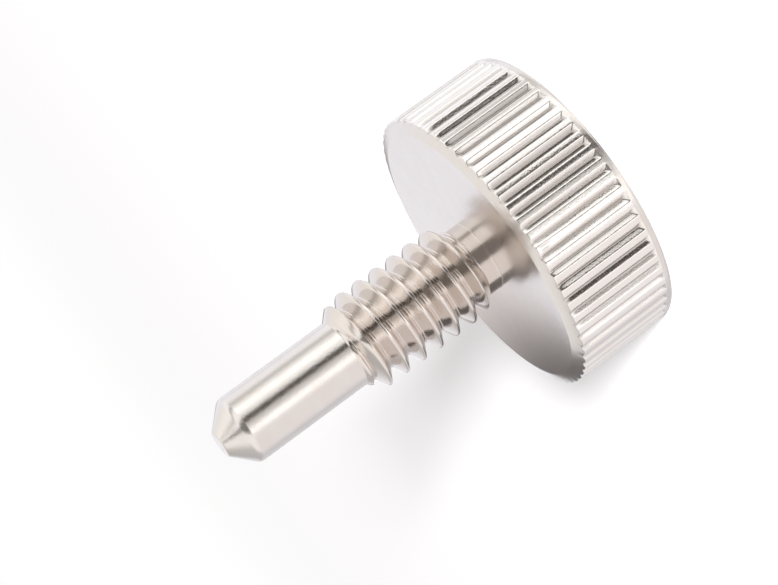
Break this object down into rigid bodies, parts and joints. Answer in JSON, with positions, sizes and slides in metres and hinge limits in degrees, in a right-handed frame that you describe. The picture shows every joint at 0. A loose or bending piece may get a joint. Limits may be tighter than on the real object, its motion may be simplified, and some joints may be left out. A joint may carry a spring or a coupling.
{
  "type": "thumb screw",
  "caption": "Thumb screw with a straight-knurled disc head, a short neck, a coarse right-hand thread and a long plain dog point with a coned end.",
  "frame": {"origin": "middle of the head's flat outer face, which the screw stands on", "axes": "+Z along the screw's axis, from the head to the point; +X through the bottom of one knurl groove"},
  "size_m": [0.019, 0.019, 0.0262],
  "materials": {
    "plated_metal": "bright nickel plate over fine turning marks"
  },
  "bodies": {
    "root": {"thumb_screw": "plated_metal"}
  },
  "joints": []
}
